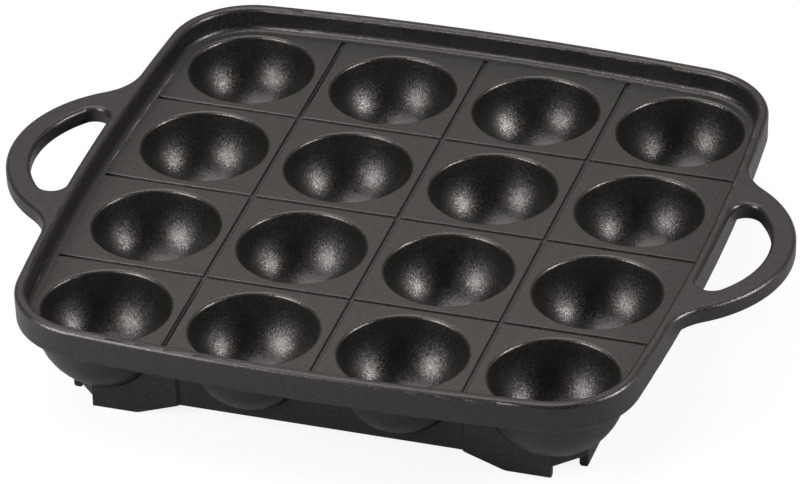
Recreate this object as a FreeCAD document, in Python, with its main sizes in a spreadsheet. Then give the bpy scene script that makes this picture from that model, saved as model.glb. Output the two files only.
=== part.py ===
"""Takoyaki plate: a coated aluminium casting with sixteen cups, two loop handles and a foot wall.

The plate stands on its feet. +Z is up, +Y is the back and +X the right-hand handle; the origin is the
middle of the plate in the plane of the feet. The casting is delivered as its named regions, which meet
face to face: a tile with its cup for each place in the grid, the rim in four rails and four corners,
two of the rails carrying a handle, and the foot wall in four corner feet and four skirts.
All lengths are in millimetres.
"""
import FreeCAD
import Part
import Sketcher

import math
import os
from dataclasses import dataclass

# Driving dimensions. Each becomes a cell of the sheet, under the same name.
SIZES = {
    # cups
    "bowl_radius": 20.6,
    "cup_depth": 23.4,
    "cup_wall": 2.9,
    "bulge_gap": 3.0,
    "mouth_flare": 0.4,
    "lip_round": 1.2,
    "bulge_root_round": 1.9,
    # deck and its score lines
    "deck_height": 31.6,
    "deck_thickness": 2.2,
    "score_width": 2.0,
    "score_floor": 1.1,
    "score_depth": 0.8,
    "score_round": 0.3,
    # rim
    "edge_margin": 7.35,
    "rim_height": 8.3,
    "rim_width": 3.9,
    "rim_ledge": 2.3,
    "cove_round": 2.1,
    "rim_draft": 0.3,
    "side_bow_radius": 930.0,
    "corner_radius": 28.5,
    "edge_round": 1.6,
    "lower_edge_round": 1.0,
    # handles
    "handle_reach": 25.7,
    "handle_radius": 45.0,
    "handle_bar": 8.2,
    "handle_thickness": 6.0,
    "handle_blend": 18.0,
    "handle_hole_corner": 5.0,
    "handle_underside_round": 0.8,
    # foot wall
    "foot_wall_inset": 13.3,
    "foot_wall_thickness": 3.0,
    "foot_wall_chamfer": 9.8,
    "foot_length": 13.8,
    "foot_slope": 14.8,
    "foot_round": 1.0,
    "skirt_recess": 1.0,
    "corner_drop": 0.7,
}

ROWS = 4
COLUMNS = 4
SIDES = 4
ROUND_SHARE = 0.45  # the most that a round may take of metal or a gap with a round on its other side too
LEDGE_SHARE = 0.95  # the most that the cove may take of the ledge beside it
NEAR = 1e-4
OVERCUT = 1.0
FULL_TURN = 360.0


@dataclass(frozen=True)
class Size:
    """A length that knows its number and the sheet formula that gives it."""

    value: float
    formula: str

    def __add__(self, other):
        return Size(self.value + other.value, f"({self.formula} + {other.formula})")

    def __sub__(self, other):
        return Size(self.value - other.value, f"({self.formula} - {other.formula})")

    def __mul__(self, factor):
        return Size(self.value * factor, f"({self.formula} * {factor})")


def cell(name):
    """The size held by one cell of the sheet."""
    return Size(SIZES[name], f"sizes.{name}")


def plain(number):
    """A size that is only a number."""
    return Size(float(number), str(float(number)))


def smaller(first, second):
    """The smaller of two sizes."""
    return Size(min(first.value, second.value), f"min({first.formula}; {second.formula})")


# Sizes that follow from the driving dimensions.
BULGE_RADIUS = cell("bowl_radius") + cell("cup_wall")
PITCH = BULGE_RADIUS * 2 + cell("bulge_gap")
GRID_HALF = PITCH * (COLUMNS / 2)
OUTER_CUP = PITCH * ((COLUMNS - 1) / 2)
BOWL_CENTRE_DEPTH = cell("cup_depth") - cell("bowl_radius")
MOUTH_EDGE = cell("bowl_radius") + cell("mouth_flare")
ROOT_ROUND = smaller(cell("bulge_root_round"), cell("bulge_gap") * ROUND_SHARE)

DECK_TOP = cell("deck_height")
DECK_UNDERSIDE = cell("deck_height") - cell("deck_thickness")
BULGE_BOTTOM = cell("deck_height") - cell("cup_depth") - cell("cup_wall")
RIM_TOP = cell("deck_height") + cell("rim_height")
BAND_HEIGHT = cell("rim_height") + cell("deck_thickness")
HANDLE_UNDERSIDE = RIM_TOP - cell("handle_thickness")
EDGE_ROUND = smaller(cell("edge_round"), cell("rim_width") * ROUND_SHARE)
COVE_ROUND = smaller(cell("cove_round"), cell("rim_ledge") * LEDGE_SHARE)

RIM_HALF = GRID_HALF + cell("edge_margin")
WALL_INSET = cell("rim_width")
LEDGE_INSET = cell("rim_width") + cell("rim_ledge")
DRAFT = f"atan({cell('rim_draft').formula} / {BAND_HEIGHT.formula})"
TAPER = {"Pad": f"-{DRAFT}", "Pocket": DRAFT}

HANDLE_CENTRE = RIM_HALF + cell("handle_reach") - cell("handle_radius")
HANDLE_HOLE_RADIUS = cell("handle_radius") - cell("handle_bar")

FOOT_FACE = GRID_HALF - cell("foot_wall_inset")
FOOT_WALL_INNER = FOOT_FACE - cell("foot_wall_thickness")
FOOT_END = FOOT_FACE - cell("foot_wall_chamfer")
FOOT_START = FOOT_END - cell("foot_length")
SKIRT_END = FOOT_START - cell("foot_slope")
SKIRT_FACE = FOOT_FACE - cell("skirt_recess")
CORNER_EDGE = BULGE_BOTTOM - cell("corner_drop")
FOOT_ROUND = smaller(cell("foot_round"), CORNER_EDGE * ROUND_SHARE)
INNER_CHAMFER = cell("foot_wall_chamfer") - cell("foot_wall_thickness")


# ---------------------------------------------------------------- document helpers

def fill_sheet(doc):
    """Write the driving dimensions into the sheet, one named cell each."""
    sheet = doc.addObject("Spreadsheet::Sheet", "sizes")
    for row, (name, value) in enumerate(SIZES.items(), start=1):
        sheet.set(f"A{row}", name)
        sheet.set(f"B{row}", str(value))
        sheet.setAlias(f"B{row}", name)
    doc.recompute()


def origin_feature(body, role):
    """The plane or axis of the body's own origin that has this role."""
    return next(feature for feature in body.Origin.OriginFeatures if feature.Role == role)


def new_sketch(body, name, role, across=None, up=None, out=None):
    """A sketch on one of the body's origin planes, shifted by bound sizes."""
    sketch = body.newObject("Sketcher::SketchObject", name)
    sketch.AttachmentSupport = (origin_feature(body, role), [""])
    sketch.MapMode = "FlatFace"
    for axis, size in (("x", across), ("y", up), ("z", out)):
        if size is not None:
            sketch.setExpression(f"AttachmentOffset.Base.{axis}", size.formula)
    return sketch


def bind(sketch, name, constraint, size):
    """Add a constraint with a value and bind the value to the sheet."""
    index = sketch.addConstraint(constraint)
    sketch.renameConstraint(index, name)
    sketch.setExpression(f"Constraints.{name}", size.formula)


def extrude(body, kind, name, sketch, length, reverse=False, taper=""):
    """A Pad or Pocket of a sketch by a bound length, with a bound draft angle where one is given."""
    feature = body.newObject(f"PartDesign::{kind}", name)
    feature.Profile = sketch
    feature.Reversed = reverse
    feature.setExpression("Length", length.formula)
    if taper:
        feature.setExpression("TaperAngle", taper)
    return feature


def turn(body, kind, name, sketch):
    """A full Revolution or Groove of a sketch about its vertical axis."""
    feature = body.newObject(f"PartDesign::{kind}", name)
    feature.Profile = sketch
    feature.ReferenceAxis = (sketch, ["V_Axis"])
    feature.Angle = FULL_TURN
    return feature


def require_change(doc, body, action, grows):
    """Run one modelling step and make sure that it added or removed material."""
    doc.recompute()
    before = body.Shape.Volume if not body.Shape.isNull() else 0.0
    feature = action()
    doc.recompute()
    after = body.Shape.Volume
    changed = after > before if grows else after < before
    if not changed:
        raise RuntimeError(f"{body.Label}: {feature.Label} changed nothing")
    return feature


def add(doc, body, action):
    """A step that has to add material."""
    return require_change(doc, body, action, grows=True)


def cut(doc, body, action):
    """A step that has to remove material."""
    return require_change(doc, body, action, grows=False)


def near(first, second):
    """True where two lengths are the same within the model's tolerance."""
    return abs(first - second) < NEAR


def edge_names(shape, test):
    """Names of the edges that pass a test; the poles of the spheres are no edges to round."""
    numbered = enumerate(shape.Edges, start=1)
    return [f"Edge{number}" for number, edge in numbered if not edge.Degenerated and test(edge)]


def edge_middle(edge):
    """The point halfway along an edge."""
    return edge.valueAt((edge.FirstParameter + edge.LastParameter) / 2)


def level_at(height):
    """A test for edges that lie wholly at one height."""
    def test(edge):
        ends = [vertex.Point.z for vertex in edge.Vertexes]
        return all(near(z, height.value) for z in ends + [edge_middle(edge).z])
    return test


def ring_at(height):
    """A test for edges that run once round a cup at one height."""
    return lambda edge: edge.isClosed() and level_at(height)(edge)


def round_edges(doc, body, name, names, radius):
    """Fillet the named edges of the body's present shape."""
    if not names:
        raise RuntimeError(f"{body.Label}: no edges for {name}")
    doc.recompute()
    fillet = body.newObject("PartDesign::Fillet", name)
    fillet.Base = (body.Tip, names) if body.Tip is not fillet else (fillet.BaseFeature, names)
    fillet.setExpression("Radius", radius.formula)
    doc.recompute()
    return fillet


# ---------------------------------------------------------------- plan outlines

@dataclass(frozen=True)
class Arc:
    """One arc of an outline; the angles follow the outline, which runs anticlockwise."""

    name: str
    centre: tuple
    radius: float
    start: float
    end: float

    def geometry(self):
        """The sketcher's arc, which always runs anticlockwise."""
        first, last = sorted((self.start, self.end))
        circle = Part.Circle(FreeCAD.Vector(*self.centre, 0), FreeCAD.Vector(0, 0, 1), self.radius)
        return Part.ArcOfCircle(circle, first, last)

    def first_point(self):
        """The sketcher's number of the point where the outline enters the arc."""
        return 1 if self.start < self.end else 2

    def last_point(self):
        """The sketcher's number of the point where the outline leaves the arc."""
        return 2 if self.start < self.end else 1

    def turned(self, quarter, name):
        """The arc turned about the origin by a number of right angles."""
        angle = quarter * math.pi / 2
        x, y = self.centre
        centre = (x * math.cos(angle) - y * math.sin(angle), x * math.sin(angle) + y * math.cos(angle))
        return Arc(name, centre, self.radius, self.start + angle, self.end + angle)


def draw_tangent_loop(sketch, arcs):
    """Add the arcs as a closed loop in which each runs smoothly into the next."""
    numbers = [sketch.addGeometry(arc.geometry(), False) for arc in arcs]
    for index, arc in enumerate(arcs):
        after = (index + 1) % len(arcs)
        joint = (numbers[index], arc.last_point(), numbers[after], arcs[after].first_point())
        sketch.addConstraint(Sketcher.Constraint("Tangent", *joint))
    return dict(zip((arc.name for arc in arcs), numbers))


def side_arc(inset):
    """The right-hand side of the bowed square, between its corners, and the corner's centre."""
    half = RIM_HALF.value - inset.value
    bow = SIZES["side_bow_radius"] - inset.value
    corner = SIZES["corner_radius"] - inset.value
    slack = bow - half
    middle = (math.sqrt(2 * (bow - corner) ** 2 - slack ** 2) - slack) / 2
    reach = math.atan2(middle, middle + slack)
    return Arc("side", (-slack, 0.0), bow, -reach, reach), middle


def pin_side(sketch, number, quarter, inset, name):
    """Fix the radius and centre of one bowed side."""
    radius = cell("side_bow_radius") - inset
    slack = radius - (RIM_HALF - inset)
    bind(sketch, f"{name}_radius", Sketcher.Constraint("Radius", number, radius.value), radius)
    along, axis = (("DistanceX", -1), ("DistanceY", -2))[quarter % 2]
    sketch.addConstraint(Sketcher.Constraint("PointOnObject", number, 3, axis))
    ends = (number, 3, -1, 1) if quarter < 2 else (-1, 1, number, 3)
    bind(sketch, f"{name}_centre", Sketcher.Constraint(along, *ends, slack.value), slack)


def draw_bowed_square(sketch, inset):
    """The plate's plan outline, set in by a bound size from the outer face."""
    side, middle = side_arc(inset)
    radius = cell("corner_radius") - inset
    corner = Arc("corner", (middle, middle), radius.value, side.end, math.pi / 2 - side.end)
    arcs = []
    for quarter in range(SIDES):
        arcs.append(side.turned(quarter, f"side_{quarter}"))
        arcs.append(corner.turned(quarter, f"corner_{quarter}"))
    numbers = draw_tangent_loop(sketch, arcs)
    for quarter in range(SIDES):
        pin_side(sketch, numbers[f"side_{quarter}"], quarter, inset, f"side_{quarter}")
        bind_radius(sketch, numbers, f"corner_{quarter}", radius)


def bind_radius(sketch, numbers, name, radius):
    """Bind the radius of a named arc."""
    constraint = Sketcher.Constraint("Radius", numbers[name], radius.value)
    bind(sketch, f"{name}_radius", constraint, radius)


def handle_arcs(side):
    """The right-hand side with its handle: side, blend, handle, blend, side."""
    blend = SIZES["handle_blend"]
    reach = SIZES["handle_radius"] + blend
    span = side.radius + blend
    gap = HANDLE_CENTRE.value - side.centre[0]
    along = (span ** 2 - reach ** 2 + gap ** 2) / (2 * gap)
    rise = math.sqrt(span ** 2 - along ** 2)
    blend_x = side.centre[0] + along
    on_side = math.atan2(rise, along)
    on_handle = math.atan2(rise, blend_x - HANDLE_CENTRE.value)
    lower_blend = Arc("blend_a", (blend_x, -rise), blend, math.pi - on_side, math.pi - on_handle)
    upper_blend = Arc("blend_b", (blend_x, rise), blend, math.pi + on_handle, math.pi + on_side)
    return [
        Arc("rail_a", side.centre, side.radius, side.start, -on_side),
        lower_blend,
        Arc("loop", (HANDLE_CENTRE.value, 0.0), SIZES["handle_radius"], -on_handle, on_handle),
        upper_blend,
        Arc("rail_b", side.centre, side.radius, on_side, side.end),
    ]


def draw_plate_with_handles(sketch):
    """The plan outline of the rim and both handles at the top face."""
    none = plain(0)
    side, middle = side_arc(none)
    corner = Arc("corner", (middle, middle), SIZES["corner_radius"], side.end, math.pi / 2 - side.end)
    arcs = []
    for quarter in range(SIDES):
        if quarter % 2:
            arcs.append(side.turned(quarter, f"side_{quarter}"))
        else:
            arcs += [arc.turned(quarter, f"{arc.name}_{quarter}") for arc in handle_arcs(side)]
        arcs.append(corner.turned(quarter, f"corner_{quarter}"))
    numbers = draw_tangent_loop(sketch, arcs)
    for quarter in range(SIDES):
        bind_radius(sketch, numbers, f"corner_{quarter}", cell("corner_radius"))
        names = (f"side_{quarter}",) if quarter % 2 else (f"rail_a_{quarter}", f"rail_b_{quarter}")
        for name in names:
            pin_side(sketch, numbers[name], quarter, none, name)
        if quarter % 2 == 0:
            pin_handle(sketch, numbers, quarter)


def pin_handle(sketch, numbers, quarter):
    """Fix the handle's loop and its blends into the rim."""
    loop = numbers[f"loop_{quarter}"]
    bind_radius(sketch, numbers, f"loop_{quarter}", cell("handle_radius"))
    sketch.addConstraint(Sketcher.Constraint("PointOnObject", loop, 3, -1))
    ends = (-1, 1, loop, 3) if quarter == 0 else (loop, 3, -1, 1)
    centre = Sketcher.Constraint("DistanceX", *ends, HANDLE_CENTRE.value)
    bind(sketch, f"loop_{quarter}_centre", centre, HANDLE_CENTRE)
    for name in (f"blend_a_{quarter}", f"blend_b_{quarter}"):
        bind_radius(sketch, numbers, name, cell("handle_blend"))


def draw_handle_hole(sketch):
    """The D-shaped finger hole of the right-hand handle, which runs along the rim's outer face."""
    side = side_arc(plain(0))[0]
    corner = SIZES["handle_hole_corner"]
    reach = HANDLE_HOLE_RADIUS.value - corner
    span = side.radius + corner
    gap = HANDLE_CENTRE.value - side.centre[0]
    along = (span ** 2 - reach ** 2 + gap ** 2) / (2 * gap)
    rise = math.sqrt(span ** 2 - along ** 2)
    corner_x = side.centre[0] + along
    on_side = math.atan2(rise, along)
    on_bow = math.atan2(rise, corner_x - HANDLE_CENTRE.value)
    arcs = [
        Arc("lower_corner", (corner_x, -rise), corner, math.pi - on_side, 2 * math.pi - on_bow),
        Arc("bow", (HANDLE_CENTRE.value, 0.0), HANDLE_HOLE_RADIUS.value, -on_bow, on_bow),
        Arc("upper_corner", (corner_x, rise), corner, on_bow, math.pi + on_side),
        Arc("wall", side.centre, side.radius, on_side, -on_side),
    ]
    numbers = draw_tangent_loop(sketch, arcs)
    pin_side(sketch, numbers["wall"], 0, plain(0), "wall")
    sketch.addConstraint(Sketcher.Constraint("PointOnObject", numbers["bow"], 3, -1))
    centre = Sketcher.Constraint("DistanceX", -1, 1, numbers["bow"], 3, HANDLE_CENTRE.value)
    bind(sketch, "bow_centre", centre, HANDLE_CENTRE)
    bind_radius(sketch, numbers, "bow", HANDLE_HOLE_RADIUS)
    bind_radius(sketch, numbers, "lower_corner", cell("handle_hole_corner"))
    bind_radius(sketch, numbers, "upper_corner", cell("handle_hole_corner"))


def draw_polygon(sketch, points, prefix):
    """A closed polygon whose points are each fixed by two bound distances."""
    vectors = [FreeCAD.Vector(x.value, y.value, 0) for x, y in points]
    count = len(points)
    lines = []
    for index in range(count):
        segment = Part.LineSegment(vectors[index], vectors[(index + 1) % count])
        lines.append(sketch.addGeometry(segment, False))
    for index in range(count):
        after = (index + 1) % count
        sketch.addConstraint(Sketcher.Constraint("Coincident", lines[index], 2, lines[after], 1))
    for index, (x, y) in enumerate(points):
        for axis, size in (("X", x), ("Y", y)):
            name = f"{prefix}_{index}_{axis.lower()}"
            constraint = Sketcher.Constraint(f"Distance{axis}", -1, 1, lines[index], 1, size.value)
            bind(sketch, name, constraint, size)


def negative(size):
    """The same length on the other side of the origin."""
    return size * -1


def square(half):
    """Corner points of a square round the origin, anticlockwise."""
    low = negative(half)
    return [(half, low), (half, half), (low, half), (low, low)]


def octagon(half, chamfer):
    """Corner points of a square with cut corners, anticlockwise."""
    near_end = half - chamfer
    return [
        (half, negative(near_end)), (half, near_end), (near_end, half), (negative(near_end), half),
        (negative(half), near_end), (negative(half), negative(near_end)),
        (negative(near_end), negative(half)), (near_end, negative(half)),
    ]


# ---------------------------------------------------------------- deck with its cups

def draw_bulge(sketch):
    """Half section of a cup's outside, from the deck's underside down to its pole."""
    centre = BOWL_CENTRE_DEPTH.value
    radius = BULGE_RADIUS.value
    top = SIZES["deck_thickness"]
    edge = math.sqrt(radius ** 2 - (top - centre) ** 2)
    lean = math.atan2(centre - top, edge)
    draw_half_bowl(sketch, edge, top, centre, radius, lean)
    bind(sketch, "top", Sketcher.Constraint("DistanceY", 0, 1, -1, 1, top), cell("deck_thickness"))
    bind_bowl(sketch, BULGE_RADIUS)


def draw_half_bowl(sketch, edge, top, centre, radius, lean):
    """A level line from the axis, an arc down to the pole and the axis back up."""
    top_middle = FreeCAD.Vector(0, -top, 0)
    pole = FreeCAD.Vector(0, -centre - radius, 0)
    circle = Part.Circle(FreeCAD.Vector(0, -centre, 0), FreeCAD.Vector(0, 0, 1), radius)
    sketch.addGeometry(Part.LineSegment(top_middle, FreeCAD.Vector(edge, -top, 0)), False)
    sketch.addGeometry(Part.ArcOfCircle(circle, -math.pi / 2, lean), False)
    sketch.addGeometry(Part.LineSegment(pole, top_middle), False)
    for constraint in (
        ("Coincident", 0, 2, 1, 2), ("Coincident", 1, 1, 2, 1), ("Coincident", 2, 2, 0, 1),
        ("Horizontal", 0), ("PointOnObject", 0, 1, -2), ("PointOnObject", 1, 3, -2),
        ("PointOnObject", 1, 1, -2),
    ):
        sketch.addConstraint(Sketcher.Constraint(*constraint))


def bind_bowl(sketch, radius):
    """Fix the radius of the arc and the depth of its centre."""
    bind(sketch, "radius", Sketcher.Constraint("Radius", 1, radius.value), radius)
    depth = Sketcher.Constraint("DistanceY", 1, 3, -1, 1, BOWL_CENTRE_DEPTH.value)
    bind(sketch, "centre_depth", depth, BOWL_CENTRE_DEPTH)


def draw_bowl(sketch):
    """Half section of a cup's inside: a steep mouth that runs smoothly into a sphere."""
    centre = BOWL_CENTRE_DEPTH.value
    radius = SIZES["bowl_radius"]
    mouth = MOUTH_EDGE.value
    reach = math.hypot(mouth, centre)
    lean = math.atan2(centre, mouth) - math.acos(radius / reach)
    touch = FreeCAD.Vector(radius * math.cos(lean), -centre + radius * math.sin(lean), 0)
    middle = FreeCAD.Vector(0, 0, 0)
    rim = FreeCAD.Vector(mouth, 0, 0)
    circle = Part.Circle(FreeCAD.Vector(0, -centre, 0), FreeCAD.Vector(0, 0, 1), radius)
    sketch.addGeometry(Part.LineSegment(middle, rim), False)
    sketch.addGeometry(Part.ArcOfCircle(circle, -math.pi / 2, lean), False)
    sketch.addGeometry(Part.LineSegment(FreeCAD.Vector(0, -centre - radius, 0), middle), False)
    sketch.addGeometry(Part.LineSegment(rim, touch), False)
    for constraint in (
        ("Coincident", 0, 1, -1, 1), ("Horizontal", 0), ("Coincident", 0, 2, 3, 1),
        ("Tangent", 3, 2, 1, 2), ("Coincident", 1, 1, 2, 1), ("Coincident", 2, 2, 0, 1),
        ("PointOnObject", 1, 3, -2), ("PointOnObject", 1, 1, -2),
    ):
        sketch.addConstraint(Sketcher.Constraint(*constraint))
    bind(sketch, "mouth", Sketcher.Constraint("DistanceX", 0, 1, 0, 2, mouth), MOUTH_EDGE)
    bind_bowl(sketch, cell("bowl_radius"))


def grid_of(body, feature, name):
    """Repeat a cup feature over the whole grid."""
    pattern = body.newObject("PartDesign::LinearPattern", name)
    pattern.Originals = [feature]
    pattern.Direction = (origin_feature(body, "X_Axis"), [""])
    pattern.Direction2 = (origin_feature(body, "Y_Axis"), [""])
    pattern.setExpression("Length", (PITCH * (COLUMNS - 1)).formula)
    pattern.setExpression("Length2", (PITCH * (ROWS - 1)).formula)
    pattern.Occurrences = COLUMNS
    pattern.Occurrences2 = ROWS
    body.Tip = pattern
    return pattern


def cup_sketch(body, name):
    """A sketch on the axis of the front left cup, level with the deck's top."""
    return new_sketch(body, name, "XZ_Plane", across=negative(OUTER_CUP), up=DECK_TOP, out=OUTER_CUP)


def build_deck(doc):
    """The deck slab with its cups and score lines, cut to the inside of the rim.

    Also gives the slab as it is before the cups are hollowed, to fit the foot wall round them.
    """
    body = doc.addObject("PartDesign::Body", "deck")
    blank = new_sketch(body, "blank", "XY_Plane", out=DECK_TOP)
    draw_polygon(blank, square(RIM_HALF), "corner")
    slab = cell("deck_thickness")
    add(doc, body, lambda: extrude(body, "Pad", "slab", blank, slab, reverse=True))

    bulge_plan = cup_sketch(body, "bulge_section")
    draw_bulge(bulge_plan)
    bulge = add(doc, body, lambda: turn(body, "Revolution", "bulge", bulge_plan))
    add(doc, body, lambda: grid_of(body, bulge, "bulges"))
    roots = edge_names(body.Shape, ring_at(DECK_UNDERSIDE))
    solid_cups = round_edges(doc, body, "bulge_roots", roots, ROOT_ROUND)

    bowl_plan = cup_sketch(body, "bowl_section")
    draw_bowl(bowl_plan)
    bowl = cut(doc, body, lambda: turn(body, "Groove", "bowl", bowl_plan))
    cut(doc, body, lambda: grid_of(body, bowl, "bowls"))
    round_edges(doc, body, "lips", edge_names(body.Shape, ring_at(DECK_TOP)), cell("lip_round"))

    add_score_lines(doc, body)
    trim_to_rim(doc, body)
    return body, solid_cups


def add_score_lines(doc, body):
    """Shallow lines between the cups, both ways, each with a flat floor and rounded edges."""
    for name, role, axis in (("down", "XZ_Plane", "X_Axis"), ("across", "YZ_Plane", "Y_Axis")):
        start = negative(PITCH * (COLUMNS / 2 - 1))
        sketch = new_sketch(body, f"score_{name}_section", role, across=start, up=DECK_TOP)
        draw_score(sketch)
        line = cut(doc, body, lambda: midplane_pocket(body, f"score_{name}", sketch))
        cut(doc, body, lambda: row_of(body, line, axis, f"scores_{name}"))


def draw_score(sketch):
    """Section of a score line: a flat floor, sloping walls and edges that round into the deck."""
    radius = SIZES["score_round"]
    top = SIZES["score_width"] / 2
    floor = SIZES["score_floor"] / 2
    depth = SIZES["score_depth"]
    reach = math.hypot(top - floor, depth - radius)
    slope = math.atan2(depth - radius, top - floor) + math.asin(radius / reach)
    wall_top = FreeCAD.Vector(top - radius * math.sin(slope), -radius + radius * math.cos(slope), 0)
    for side in (1, -1):
        foot = FreeCAD.Vector(side * floor, -depth, 0)
        bend = FreeCAD.Vector(side * wall_top.x, wall_top.y, 0)
        circle = Part.Circle(FreeCAD.Vector(side * top, -radius, 0), FreeCAD.Vector(0, 0, 1), radius)
        ends = sorted((math.pi / 2, math.pi / 2 + side * slope))
        sketch.addGeometry(Part.LineSegment(foot, bend), False)
        sketch.addGeometry(Part.ArcOfCircle(circle, *ends), False)
    left, right = FreeCAD.Vector(-top, 0, 0), FreeCAD.Vector(top, 0, 0)
    sketch.addGeometry(Part.LineSegment(FreeCAD.Vector(-floor, -depth, 0), FreeCAD.Vector(floor, -depth, 0)), False)
    sketch.addGeometry(Part.LineSegment(left, right), False)
    for constraint in (
        ("Tangent", 0, 2, 1, 2), ("Tangent", 1, 1, 5, 2), ("Tangent", 2, 2, 3, 1), ("Tangent", 3, 2, 5, 1),
        ("Coincident", 4, 2, 0, 1), ("Coincident", 4, 1, 2, 1), ("Horizontal", 5), ("PointOnObject", 5, 1, -1),
    ):
        sketch.addConstraint(Sketcher.Constraint(*constraint))
    bind_score(sketch)


def bind_score(sketch):
    """Bind a score line's floor, depth, opening and rounds."""
    half_floor = cell("score_floor") * 0.5
    half_top = cell("score_width") * 0.5
    for name, first, last, size in (
        ("floor_right", (-1, 1), (4, 2), half_floor), ("floor_left", (4, 1), (-1, 1), half_floor),
        ("top_right", (-1, 1), (1, 3), half_top), ("top_left", (3, 3), (-1, 1), half_top),
    ):
        bind(sketch, name, Sketcher.Constraint("DistanceX", *first, *last, size.value), size)
    for name, line_end in (("depth_right", (4, 2)), ("depth_left", (4, 1))):
        depth = Sketcher.Constraint("DistanceY", *line_end, -1, 1, SIZES["score_depth"])
        bind(sketch, name, depth, cell("score_depth"))
    for name, arc in (("round_right", 1), ("round_left", 3)):
        bind(sketch, name, Sketcher.Constraint("Radius", arc, SIZES["score_round"]), cell("score_round"))


def midplane_pocket(body, name, sketch):
    """A pocket that runs the same way out on both sides of its sketch."""
    pocket = extrude(body, "Pocket", name, sketch, RIM_HALF * 2)
    pocket.Midplane = True
    return pocket


def row_of(body, feature, axis, name):
    """Repeat a score line at each boundary between cups."""
    pattern = body.newObject("PartDesign::LinearPattern", name)
    pattern.Originals = [feature]
    pattern.Direction = (origin_feature(body, axis), [""])
    pattern.setExpression("Length", (PITCH * (COLUMNS - 2)).formula)
    pattern.Occurrences = COLUMNS - 1
    body.Tip = pattern
    return pattern


def trim_to_rim(doc, body):
    """Cut away what lies outside the rim's ledge."""
    sketch = new_sketch(body, "trim", "XY_Plane", out=DECK_TOP)
    draw_polygon(sketch, square(RIM_HALF + plain(OVERCUT)), "corner")
    draw_bowed_square(sketch, LEDGE_INSET)
    depth = cell("cup_depth") + cell("cup_wall") + plain(OVERCUT)
    cut(doc, body, lambda: extrude(body, "Pocket", "outline", sketch, depth))


# ---------------------------------------------------------------- rim with its handles

def build_rim(doc):
    """The rim's band, ledge and cove with both handles, in one piece."""
    body = doc.addObject("PartDesign::Body", "rim")
    plan = new_sketch(body, "plan", "XY_Plane", out=RIM_TOP)
    draw_plate_with_handles(plan)
    thickness = cell("handle_thickness")
    add(doc, body, lambda: drafted(body, "Pad", "handles", plan, thickness))

    hole_plan = new_sketch(body, "hole_plan", "XY_Plane", out=RIM_TOP)
    draw_handle_hole(hole_plan)
    hole = cut(doc, body, lambda: drafted(body, "Pocket", "finger_hole", hole_plan, thickness))
    cut(doc, body, lambda: mirrored(body, hole, "finger_holes"))
    underside = edge_names(body.Shape, level_at(HANDLE_UNDERSIDE))
    round_edges(doc, body, "handle_edges", underside, cell("handle_underside_round"))

    band_plan = new_sketch(body, "band_plan", "XY_Plane", out=RIM_TOP)
    draw_bowed_square(band_plan, plain(0))
    add(doc, body, lambda: drafted(body, "Pad", "band", band_plan, BAND_HEIGHT))

    for name, inset, depth in (
        ("tray", WALL_INSET, cell("rim_height")),
        ("deck_opening", LEDGE_INSET, BAND_HEIGHT + plain(OVERCUT)),
    ):
        sketch = new_sketch(body, f"{name}_plan", "XY_Plane", out=RIM_TOP)
        draw_bowed_square(sketch, inset)
        cut(doc, body, lambda: extrude(body, "Pocket", name, sketch, depth))
    round_rim_edges(doc, body)
    return body


def drafted(body, kind, name, sketch, length):
    """A Pad that narrows downwards or a Pocket that widens downwards, by the rim's draft."""
    down = kind == "Pad"
    return extrude(body, kind, name, sketch, length, reverse=down, taper=TAPER[kind])


def mirrored(body, feature, name):
    """The feature repeated on the left-hand side."""
    mirror = body.newObject("PartDesign::Mirrored", name)
    mirror.Originals = [feature]
    mirror.MirrorPlane = (origin_feature(body, "YZ_Plane"), [""])
    body.Tip = mirror
    return mirror


def round_rim_edges(doc, body):
    """Round the cove at the deck, the top edges and the band's lower edge."""
    for name, test, radius in (
        ("cove", at_wall_foot, COVE_ROUND),
        ("top_edges", level_at(RIM_TOP), EDGE_ROUND),
        ("lower_edge", at_lower_edge, cell("lower_edge_round")),
    ):
        round_edges(doc, body, name, edge_names(body.Shape, test), radius)


def outline_inset(point):
    """How far a point lies inside the plate's bowed plan outline, handles left out."""
    side, middle = side_arc(plain(0))
    across = max(abs(point.x), abs(point.y))
    along = min(abs(point.x), abs(point.y))
    if along > middle:
        return SIZES["corner_radius"] - math.hypot(across - middle, along - middle)
    return side.radius - math.hypot(across - side.centre[0], along)


def at_wall_foot(edge):
    """A test for the edges where the inner wall meets the ledge."""
    return level_at(DECK_TOP)(edge) and near(outline_inset(edge_middle(edge)), WALL_INSET.value)


def at_lower_edge(edge):
    """A test for the band's lower outside edges."""
    inset = outline_inset(edge_middle(edge))
    return level_at(DECK_UNDERSIDE)(edge) and inset < WALL_INSET.value


# ---------------------------------------------------------------- foot wall

def build_foot_wall(doc):
    """The wall below the deck: an octagon with a foot at each end of its four sides."""
    body = doc.addObject("PartDesign::Body", "foot_wall")
    plan = new_sketch(body, "plan", "XY_Plane")
    draw_polygon(plan, octagon(FOOT_FACE, cell("foot_wall_chamfer")), "outer")
    draw_polygon(plan, octagon(FOOT_WALL_INNER, INNER_CHAMFER), "inner")
    add(doc, body, lambda: extrude(body, "Pad", "wall", plan, DECK_UNDERSIDE))

    cuts = [
        cut(doc, body, lambda: skirt_recess(body)),
        cut(doc, body, lambda: foot_gap(body)),
        cut(doc, body, lambda: corner_gap(body)),
    ]
    cut(doc, body, lambda: around(body, cuts, "all_sides"))
    floor = edge_names(body.Shape, level_at(plain(0)))
    longest = SIZES["foot_length"] - 2 * SIZES["foot_wall_thickness"]
    long_edges = [name for name in floor if body.Shape.getElement(name).Length > longest]
    round_edges(doc, body, "foot_edges", long_edges, FOOT_ROUND)
    return body


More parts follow.
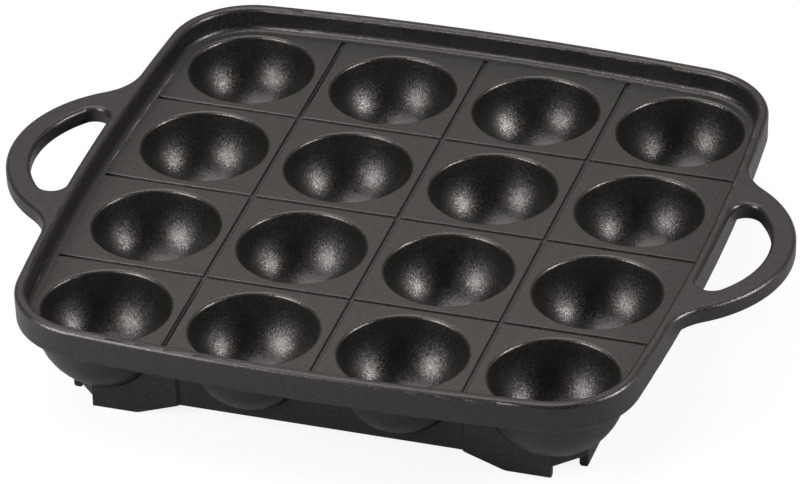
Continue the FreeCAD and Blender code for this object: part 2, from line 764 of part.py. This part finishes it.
def skirt_recess(body):
    """The shallow set-back of the skirt between two feet, with a sloping end each side."""
    sketch = new_sketch(body, "recess_plan", "XY_Plane")
    face = negative(FOOT_FACE)
    inner = negative(SKIRT_FACE)
    short = SKIRT_END - cell("skirt_recess")
    points = [(negative(SKIRT_END), face), (SKIRT_END, face), (short, inner), (negative(short), inner)]
    draw_polygon(sketch, points, "p")
    return extrude(body, "Pocket", "recess", sketch, DECK_UNDERSIDE, reverse=True)


def foot_gap(body):
    """The raised lower edge between two feet, level with the cups' lowest points, and its slopes."""
    sketch = new_sketch(body, "gap_section", "XZ_Plane", out=FOOT_FACE)
    rise = BULGE_BOTTOM
    floor = plain(0)
    low_end = negative(FOOT_START)
    high_end = negative(SKIRT_END)
    points = [(low_end, floor), (FOOT_START, floor), (SKIRT_END, rise), (high_end, rise)]
    draw_polygon(sketch, points, "p")
    return extrude(body, "Pocket", "gap", sketch, cell("foot_wall_thickness") * 2)


def corner_gap(body):
    """The raised lower edge of the cut corner, a little below the cups' lowest points."""
    sketch = new_sketch(body, "corner_plan", "XY_Plane")
    outer = FOOT_FACE + plain(OVERCUT)
    points = [(FOOT_END, FOOT_END), (outer, FOOT_END), (outer, outer), (FOOT_END, outer)]
    draw_polygon(sketch, points, "p")
    return extrude(body, "Pocket", "corner", sketch, CORNER_EDGE, reverse=True)


def around(body, features, name):
    """Repeat the features on all four sides."""
    pattern = body.newObject("PartDesign::PolarPattern", name)
    pattern.Originals = features
    pattern.Axis = (origin_feature(body, "Z_Axis"), [""])
    pattern.Angle = FULL_TURN
    pattern.Occurrences = SIDES
    body.Tip = pattern
    return pattern


# ---------------------------------------------------------------- regions

def region(doc, name, source, low, high):
    """The part of a casting that lies in a box, as a piece of its own."""
    box = doc.addObject("Part::Box", f"{name}_box")
    bottom = plain(-OVERCUT)
    height = RIM_TOP + plain(2 * OVERCUT)
    for axis, size in (("x", low[0]), ("y", low[1]), ("z", bottom)):
        box.setExpression(f"Placement.Base.{axis}", size.formula)
    for side, size in (("Length", high[0] - low[0]), ("Width", high[1] - low[1]), ("Height", height)):
        box.setExpression(side, size.formula)
    piece = doc.addObject("Part::Common", name)
    piece.Label = name
    piece.Base = source
    piece.Tool = box
    return piece


def grid_lines(count):
    """Boundaries of the tiles along one axis; the outermost lie beyond the rim."""
    beyond = RIM_HALF + plain(OVERCUT)
    inner = [PITCH * (index - count / 2) for index in range(1, count)]
    return [negative(beyond)] + inner + [beyond]


def cup_tiles(doc, deck):
    """One tile with its cup for each place; row 1 is the back row and column 1 the left one."""
    across = grid_lines(COLUMNS)
    down = grid_lines(ROWS)
    tiles = []
    for row in range(1, ROWS + 1):
        front, back = down[ROWS - row], down[ROWS - row + 1]
        strip = region(doc, f"cup_row{row}", deck, (across[0], front), (across[-1], back))
        for column in range(1, COLUMNS + 1):
            low = (across[column - 1], front)
            high = (across[column], back)
            tiles.append(region(doc, f"cup_row{row}_col{column}", strip, low, high))
    return tiles


def ring_regions(doc, source, split, reach, corner_names, side_names):
    """Divide a ring into four corners and four sides at plus and minus a bound distance."""
    out, cut_at = reach, split
    spans = {-1: (negative(out), negative(cut_at)), 0: (negative(cut_at), cut_at), 1: (cut_at, out)}
    pieces = []
    for (x_side, y_side), name in {**corner_names, **side_names}.items():
        low = (spans[x_side][0], spans[y_side][0])
        high = (spans[x_side][1], spans[y_side][1])
        pieces.append(region(doc, name, source, low, high))
    return pieces


def rim_pieces(doc, rim):
    """The rim's front and back rails, its corners, and the side rails with their handles."""
    reach = RIM_HALF + cell("handle_reach") + plain(OVERCUT)
    corners = {
        (-1, -1): "rim_corner_front_left", (1, -1): "rim_corner_front_right",
        (-1, 1): "rim_corner_back_left", (1, 1): "rim_corner_back_right",
    }
    sides = {(0, -1): "rim_front", (0, 1): "rim_back", (-1, 0): "handle_left", (1, 0): "handle_right"}
    return ring_regions(doc, rim, OUTER_CUP, reach, corners, sides)


def foot_pieces(doc, wall):
    """The corner feet and the skirts between them."""
    reach = FOOT_FACE + plain(OVERCUT)
    corners = {
        (-1, -1): "foot_front_left", (1, -1): "foot_front_right",
        (-1, 1): "foot_back_left", (1, 1): "foot_back_right",
    }
    sides = {(0, -1): "skirt_front", (0, 1): "skirt_back", (-1, 0): "skirt_left", (1, 0): "skirt_right"}
    return ring_regions(doc, wall, SKIRT_END, reach, corners, sides)


def wall_around_cups(doc, wall, solid_cups):
    """The foot wall with the cups' bulges taken out of it."""
    fitted = doc.addObject("Part::Cut", "fitted_wall")
    fitted.Base = wall
    fitted.Tool = solid_cups
    return fitted


# ---------------------------------------------------------------- checks and export

def check(doc, pieces):
    """Stop on any failed object or any piece that is not one valid solid."""
    for item in doc.Objects:
        if "Invalid" in item.State or "Error" in item.State:
            raise RuntimeError(f"{item.Label} failed: {item.State}")
    for piece in pieces:
        shape = piece.Shape
        if shape.isNull() or not shape.isValid():
            raise RuntimeError(f"{piece.Label} is not a valid shape")
        if len(shape.Solids) != 1:
            raise RuntimeError(f"{piece.Label} has {len(shape.Solids)} solids")


def main():
    """Build the document and write each piece to its own file."""
    doc = FreeCAD.newDocument("takoyaki_plate")
    fill_sheet(doc)
    deck, solid_cups = build_deck(doc)
    rim = build_rim(doc)
    wall = build_foot_wall(doc)
    fitted = wall_around_cups(doc, wall, solid_cups)
    pieces = cup_tiles(doc, deck) + rim_pieces(doc, rim) + foot_pieces(doc, fitted)
    doc.recompute()
    check(doc, pieces)
    os.makedirs("parts", exist_ok=True)
    for piece in pieces:
        piece.Shape.exportStep(f"parts/{piece.Label}.step")
        print(f"{piece.Label}: {piece.Shape.Volume:.1f} mm3")


main()
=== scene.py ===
"""Takoyaki plate: a coated aluminium casting with sixteen cups, shown on a pale studio table.

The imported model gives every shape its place. This script dresses the plate's pieces, lights them with
soft boxes and sets the camera. All lengths are in metres; +Z is up, +Y the back and +X the right-hand
handle.
"""

import logging
import math
from dataclasses import dataclass
from enum import Enum

import bpy
from mathutils import Euler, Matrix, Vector


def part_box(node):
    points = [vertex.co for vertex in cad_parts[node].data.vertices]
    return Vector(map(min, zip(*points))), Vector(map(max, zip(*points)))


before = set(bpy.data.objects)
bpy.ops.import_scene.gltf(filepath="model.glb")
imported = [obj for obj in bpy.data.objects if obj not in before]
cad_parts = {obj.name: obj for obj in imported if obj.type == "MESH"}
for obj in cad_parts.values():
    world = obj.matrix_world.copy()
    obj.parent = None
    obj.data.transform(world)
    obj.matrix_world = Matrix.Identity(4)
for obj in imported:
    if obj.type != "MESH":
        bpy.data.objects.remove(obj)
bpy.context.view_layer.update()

LOG = logging.getLogger("takoyaki_plate")
MM = 0.001

Colour = tuple[float, float, float]
Socket = bpy.types.NodeSocket
Term = Socket | float | tuple[float, ...]

WHITE: Colour = (1.0, 1.0, 1.0)


class Slot(Enum):
    """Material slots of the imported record."""

    DECK = "coated_deck"
    FRAME = "coated_frame"


class Ray(Enum):
    """Kinds of rays that are told apart, by the name of their socket on the Light Path node."""

    CAMERA = "Is Camera Ray"
    GLOSSY = "Is Glossy Ray"
    TRANSMISSION = "Is Transmission Ray"


# ---------------------------------------------------------------- node helpers

class NodeWriter:
    """Adds nodes to one tree and links them."""

    def __init__(self, owner: bpy.types.Material | bpy.types.World) -> None:
        """Empty the owner's tree and keep it.

        Args:
            owner: Material or world that the nodes are for.
        """
        owner.use_nodes = True
        self.tree = owner.node_tree
        self.tree.nodes.clear()

    def add(self, kind: str, **settings: object) -> bpy.types.Node:
        """Add a node and set its attributes and inputs.

        Args:
            kind: The node's type name.
            settings: Attributes of the node; a name that starts with in_ is the input of that name, with its
                spaces as underscores.

        Returns:
            The new node.
        """
        node = self.tree.nodes.new(kind)
        for key, value in settings.items():
            if key.startswith("in_"):
                node.inputs[key[3:].replace("_", " ")].default_value = value
            else:
                setattr(node, key, value)
        return node

    def feed(self, term: Term, target: Socket) -> None:
        """Give an input its value.

        Args:
            term: An output to link to it, or a number, vector or colour to set.
            target: The input.
        """
        if isinstance(term, bpy.types.NodeSocket):
            self.tree.links.new(term, target)
        else:
            target.default_value = term

    def calc(self, kind: str, *terms: Term, **settings: object) -> Socket:
        """Add a node that works out one value from its first inputs.

        Args:
            kind: The node's type name.
            terms: Values of the first inputs, in order.
            settings: Attributes and further inputs, as for add.

        Returns:
            The socket with the result.
        """
        node = self.add(kind, **settings)
        for term, target in zip(terms, node.inputs):
            self.feed(term, target)
        return node.outputs[0]

    def ramp(self, value: Socket, start: float, end: float, low: float, high: float,
             kind: str = "SMOOTHSTEP") -> Socket:
        """Go from one level to another while a value rises.

        Args:
            value: The value.
            start: Value where the ramp starts.
            end: Value where it ends.
            low: Level at its start.
            high: Level at its end.
            kind: Shape of the ramp.

        Returns:
            The socket with the level.
        """
        return self.calc("ShaderNodeMapRange", value, interpolation_type=kind, in_From_Min=start, in_From_Max=end,
                         in_To_Min=low, in_To_Max=high)

    def blend(self, share: Socket, first: Colour, second: Colour) -> Socket:
        """Mix two colours.

        Args:
            share: Share of the second colour.
            first: Colour at a share of 0.
            second: Colour at a share of 1.

        Returns:
            The socket with the colour.
        """
        node = self.add("ShaderNodeMix", data_type="RGBA")
        # The node has inputs and outputs of the same name for other kinds of data, so they go by number.
        for term, number in ((share, 0), ((*first, 1.0), 6), ((*second, 1.0), 7)):
            self.feed(term, node.inputs[number])
        return node.outputs[2]

    def coordinate(self, system: str) -> Socket:
        """Place or direction in one of the systems of Texture Coordinate."""
        return self.add("ShaderNodeTexCoord").outputs[system]

    def along(self, axis: str, vector: Socket) -> Socket:
        """Part of a vector along X, Y or Z."""
        split = self.add("ShaderNodeSeparateXYZ")
        self.feed(vector, split.inputs[0])
        return split.outputs[axis]

    def seen_share(self, seen: float, mirrored: Term) -> Socket:
        """One value on rays from the camera, another on reflected and refracted rays, and else 0.

        Args:
            seen: Value on rays from the camera.
            mirrored: Value on glossy and transmission rays.

        Returns:
            The socket with the value.
        """
        path = self.add("ShaderNodeLightPath")
        total: Term = 0.0
        for ray, share in ((Ray.CAMERA, seen), (Ray.GLOSSY, mirrored), (Ray.TRANSMISSION, mirrored)):
            total = self.calc("ShaderNodeMath", path.outputs[ray.value], share, total,
                              operation="MULTIPLY_ADD", use_clamp=True)
        return total

    def end(self, kind: str, shader: Socket) -> None:
        """Link the finished shader to the tree's output node."""
        self.feed(shader, self.add(kind).inputs["Surface"])


# ---------------------------------------------------------------- finishes

@dataclass(frozen=True)
class CoatingFinish:
    """Satin non-stick coating on a cast surface: dark, with a fine grain that sparkles in the lamps.

    Attributes:
        name: Name of the material.
        shade: Base colour of the dark grains.
        pale_shade: Base colour of the palest grains.
        roughness: Mean roughness of a grain's face.
        roughness_spread: How far the roughness of a grain goes up or down from the mean.
        grain_tilt: How far the faces of the grains lean away from the surface.
        density: Index of refraction of the coating's skin.
        grain_size: Spacing of the grains.
        pale_rarity: Power on a grain's random number; a higher one makes pale grains rarer.
        level_roughness: How much rougher the skin is where it lies level, on the deck and on the rim's top.
        level_start: Upward part of a face's direction from which it counts as nearly level.
        level_end: The same from which it counts as level.
    """

    name: str
    shade: Colour
    pale_shade: Colour
    roughness: float
    roughness_spread: float
    grain_tilt: float
    density: float
    grain_size: float = 0.36 * MM
    pale_rarity: float = 2.0
    level_roughness: float = 0.25
    level_start: float = 0.93
    level_end: float = 0.995

    def build(self) -> bpy.types.Material:
        """Make the material.

        Returns:
            The finished material.
        """
        material = bpy.data.materials.new(self.name)
        write = NodeWriter(material)
        grains = write.add("ShaderNodeTexVoronoi", in_Scale=1.0 / self.grain_size)
        write.feed(write.coordinate("Object"), grains.inputs["Vector"])
        grain = grains.outputs["Color"]
        surface = write.add("ShaderNodeNewGeometry").outputs["Normal"]
        dice = write.add("ShaderNodeSeparateColor")
        write.feed(grain, dice.inputs["Color"])
        shader = write.add("ShaderNodeBsdfPrincipled", in_IOR=self.density)
        write.feed(self.tint(write, dice.outputs["Red"]), shader.inputs["Base Color"])
        write.feed(self.gloss(write, dice.outputs["Green"], surface), shader.inputs["Roughness"])
        write.feed(self.lean(write, grain, surface), shader.inputs["Normal"])
        write.end("ShaderNodeOutputMaterial", shader.outputs["BSDF"])
        return material

    def tint(self, write: NodeWriter, luck: Socket) -> Socket:
        """Base colour, which differs a little from grain to grain.

        Args:
            write: Writer of the material's tree.
            luck: Random number of each grain.

        Returns:
            The socket with the colour.
        """
        rare = write.calc("ShaderNodeMath", luck, self.pale_rarity, operation="POWER")
        return write.blend(rare, self.shade, self.pale_shade)

    def gloss(self, write: NodeWriter, luck: Socket, surface: Socket) -> Socket:
        """Roughness, which differs from grain to grain and goes up on level faces.

        Args:
            write: Writer of the material's tree.
            luck: Random number of each grain.
            surface: Direction of the smooth surface.

        Returns:
            The socket with the roughness.
        """
        grainy = write.ramp(luck, 0.0, 1.0, self.roughness - self.roughness_spread,
                            self.roughness + self.roughness_spread, kind="LINEAR")
        level = write.ramp(write.along("Z", surface), self.level_start, self.level_end, 0.0, self.level_roughness)
        return write.calc("ShaderNodeMath", grainy, level, operation="ADD")

    def lean(self, write: NodeWriter, grain: Socket, surface: Socket) -> Socket:
        """Surface direction of each grain's face.

        Args:
            write: Writer of the material's tree.
            grain: Random colour of each grain.
            surface: Direction of the smooth surface.

        Returns:
            The socket with the direction.
        """
        doubled, less_one = (2.0, 2.0, 2.0), (-1.0, -1.0, -1.0)
        centred = write.calc("ShaderNodeVectorMath", grain, doubled, less_one, operation="MULTIPLY_ADD")
        tilt = write.calc("ShaderNodeVectorMath", centred, operation="SCALE", in_Scale=self.grain_tilt)
        leaning = write.calc("ShaderNodeVectorMath", surface, tilt, operation="ADD")
        return write.calc("ShaderNodeVectorMath", leaning, operation="NORMALIZE")


@dataclass(frozen=True)
class TableFinish:
    """Plain white table top that shows its own white and keeps a faint shadow.

    Attributes:
        name: Name of the material.
        shade: Colour that the table's bounced light has.
        seen_shade: Grey level of the lit part of the table where it is seen.
        seen_white: Share of plain white where the table is seen.
        near_mirrored: Share of plain white where the coating reflects the table beside the plate.
        far_mirrored: The same for the table well behind the plate.
        far_start: Distance behind the plate's middle where the mirrored white starts to change.
        far_end: Distance where it has changed.
    """

    name: str = "white_table"
    shade: Colour = (0.33, 0.335, 0.36)
    seen_shade: float = 0.9
    seen_white: float = 0.88
    near_mirrored: float = 0.0
    far_mirrored: float = 1.0
    far_start: float = 0.12
    far_end: float = 0.26

    def build(self) -> bpy.types.Material:
        """Make the material.

        Returns:
            The finished material.
        """
        material = bpy.data.materials.new(self.name)
        write = NodeWriter(material)
        seen = write.add("ShaderNodeLightPath").outputs[Ray.CAMERA.value]
        cloth = write.calc("ShaderNodeBsdfDiffuse", write.blend(seen, self.shade, (self.seen_shade,) * 3))
        glow = write.calc("ShaderNodeEmission", (*WHITE, 1.0), in_Strength=1.0)
        mirrored = write.ramp(write.along("Y", write.coordinate("Object")), self.far_start, self.far_end,
                              self.near_mirrored, self.far_mirrored)
        share = write.seen_share(self.seen_white, mirrored)
        write.end("ShaderNodeOutputMaterial", write.calc("ShaderNodeMixShader", share, cloth, glow))
        return material


DECK_COATING = CoatingFinish(
    name="deck_coating",
    shade=(0.0022, 0.0026, 0.0021),
    pale_shade=(0.0120, 0.0127, 0.0111),
    roughness=0.35,
    roughness_spread=0.08,
    grain_tilt=0.065,
    density=1.6,
)
FRAME_COATING = CoatingFinish(
    name="frame_coating",
    shade=(0.0028, 0.0028, 0.0031),
    pale_shade=(0.0170, 0.0168, 0.0185),
    roughness=0.36,
    roughness_spread=0.07,
    grain_tilt=0.055,
    density=1.55,
)


# ---------------------------------------------------------------- plate

@dataclass
class CastPlate:
    """The casting: its cup tiles, rim, handles and foot wall, each a piece of its own.

    Attributes:
        rows: Number of rows of cups.
        columns: Number of cups in a row.
    """

    rows: int = 4
    columns: int = 4

    def tiles(self) -> set[str]:
        """Names of the cup tiles."""
        return {f"cup_row{r}_col{c}" for r in range(1, self.rows + 1) for c in range(1, self.columns + 1)}

    def slot_of(self, name: str) -> Slot:
        """Slot of a piece: the deck's for a cup tile, and else the frame's."""
        return Slot.DECK if name in self.tiles() else Slot.FRAME

    def dress(self) -> None:
        """Give every piece its coating."""
        coatings = {Slot.DECK: DECK_COATING.build(), Slot.FRAME: FRAME_COATING.build()}
        for name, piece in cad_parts.items():
            slot = self.slot_of(name)
            piece.data.materials.clear()
            piece.data.materials.append(coatings[slot])
            LOG.info("dressed %s as %s", name, slot.value)


# ---------------------------------------------------------------- studio

@dataclass
class Table:
    """Table top that the feet stand on.

    Attributes:
        length: Length of each side.
    """

    length: float = 12.0

    def build(self) -> bpy.types.Object:
        """Lay the table.

        Returns:
            The table's object.
        """
        half = self.length / 2
        mesh = bpy.data.meshes.new("table")
        mesh.from_pydata([(-half, -half, 0), (half, -half, 0), (half, half, 0), (-half, half, 0)], [], [(0, 1, 2, 3)])
        top = bpy.data.objects.new("table", mesh)
        mesh.materials.append(TableFinish().build())
        bpy.context.scene.collection.objects.link(top)
        return top


@dataclass
class Sweep:
    """White surroundings that are darkest at the horizon and on the camera's side.

    Attributes:
        tint: Colour of their light.
        rise_start: Upward part of the direction from which the light rises.
        rise_end: The same where it has risen.
        horizon_level: Strength at the horizon.
        upper_level: Strength from the end of the rise upwards.
        back_start: Backward part of the direction from which the light goes up from the front's level.
        back_end: The same where it has its full strength.
        front_level: Share of the strength on the camera's side.
        seen_level: Strength where the camera sees the surroundings.
    """

    tint: Colour = (1.0, 0.90, 0.83)
    rise_start: float = 0.12
    rise_end: float = 0.72
    horizon_level: float = 0.2
    upper_level: float = 0.56
    back_start: float = -0.3
    back_end: float = 0.6
    front_level: float = 0.08
    seen_level: float = 1.0

    def build(self) -> bpy.types.World:
        """Put the sweep up as the scene's world.

        Returns:
            The world.
        """
        world = bpy.data.worlds.new("studio_sweep")
        bpy.context.scene.world = world
        write = NodeWriter(world)
        way = write.coordinate("Generated")
        rise = write.ramp(write.along("Z", way), self.rise_start, self.rise_end, self.horizon_level, self.upper_level)
        behind = write.ramp(write.along("Y", way), self.back_start, self.back_end, self.front_level, 1.0)
        level = write.calc("ShaderNodeMath", rise, behind, operation="MULTIPLY")
        light = write.calc("ShaderNodeBackground", (*self.tint, 1.0), level)
        white = write.calc("ShaderNodeBackground", (*WHITE, 1.0), self.seen_level)
        share = write.seen_share(1.0, 0.0)
        write.end("ShaderNodeOutputWorld", write.calc("ShaderNodeMixShader", share, light, white))
        return world


@dataclass
class SoftBox:
    """One square soft box that points at the plate.

    Attributes:
        name: Name of the lamp.
        azimuth: Direction from the plate, in degrees from the front towards the right.
        elevation: Height above the table, in degrees.
        distance: Distance from the plate's middle.
        size: Length of each side.
        power: Power in watts.
        tint: Colour of the light.
    """

    name: str
    azimuth: float
    elevation: float
    distance: float
    size: float
    power: float
    tint: Colour = (1.0, 0.93, 0.91)

    def build(self) -> bpy.types.Object:
        """Hang the lamp.

        Returns:
            The lamp's object.
        """
        lamp = bpy.data.lights.new(self.name, "AREA")
        lamp.shape = "SQUARE"
        lamp.size = self.size
        lamp.energy = self.power
        lamp.color = self.tint
        body = bpy.data.objects.new(self.name, lamp)
        bpy.context.scene.collection.objects.link(body)
        turn, lift = math.radians(self.azimuth), math.radians(self.elevation)
        reach = Vector((math.sin(turn) * math.cos(lift), -math.cos(turn) * math.cos(lift), math.sin(lift)))
        body.location = reach * self.distance
        body.rotation_euler = reach.to_track_quat("Z", "Y").to_euler()
        body.visible_camera = False
        return body


@dataclass
class Eye:
    """Camera in front of the plate, to its right and above it.

    Attributes:
        lens: Focal length in millimetres.
        sensor: Width of the sensor in millimetres.
        reach: Farthest distance that is drawn.
        place: Where it stands, with the height counted from the deck's top face.
        turn: Its turns about X, Y and Z, in degrees.
    """

    lens: float = 346.73
    sensor: float = 36.0
    reach: float = 50.0
    place: tuple[float, float, float] = (0.6555, -2.0108, 1.3681)
    turn: tuple[float, float, float] = (56.9127, 1.2495, 17.2283)

    def build(self, deck_top: float) -> bpy.types.Object:
        """Set the camera up and look through it.

        Args:
            deck_top: Height of the deck's top face.

        Returns:
            The camera's object.
        """
        data = bpy.data.cameras.new("camera")
        data.lens = self.lens
        data.sensor_width = self.sensor
        data.sensor_fit = "HORIZONTAL"
        data.clip_end = self.reach
        body = bpy.data.objects.new("camera", data)
        bpy.context.scene.collection.objects.link(body)
        x, y, above_deck = self.place
        body.location = (x, y, above_deck + deck_top)
        body.rotation_euler = Euler([math.radians(angle) for angle in self.turn])
        bpy.context.scene.camera = body
        return body


SOFT_BOXES = (
    SoftBox("soft_box_right", azimuth=91, elevation=27, distance=0.85, size=0.26, power=6.9),
    SoftBox("soft_box_left", azimuth=-41, elevation=26.5, distance=0.62, size=0.32, power=4.7),
    SoftBox("soft_box_overhead", azimuth=-100, elevation=76, distance=1.1, size=0.95, power=8.8),
    SoftBox("soft_box_behind", azimuth=-168, elevation=62, distance=1.1, size=0.34, power=1.4),
)


def main() -> None:
    """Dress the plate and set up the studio."""
    CastPlate().dress()
    for part in (Table(), Sweep(), *SOFT_BOXES):
        stand = part.build()
        LOG.info("set up %s", stand.name)
    deck_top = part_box("cup_row1_col1")[1][2]
    eye = Eye().build(deck_top)
    LOG.info("set up %s", eye.name)
    bpy.context.scene.view_settings.view_transform = "Standard"


if __name__ == "__main__":
    logging.basicConfig(level=logging.INFO)
    main()
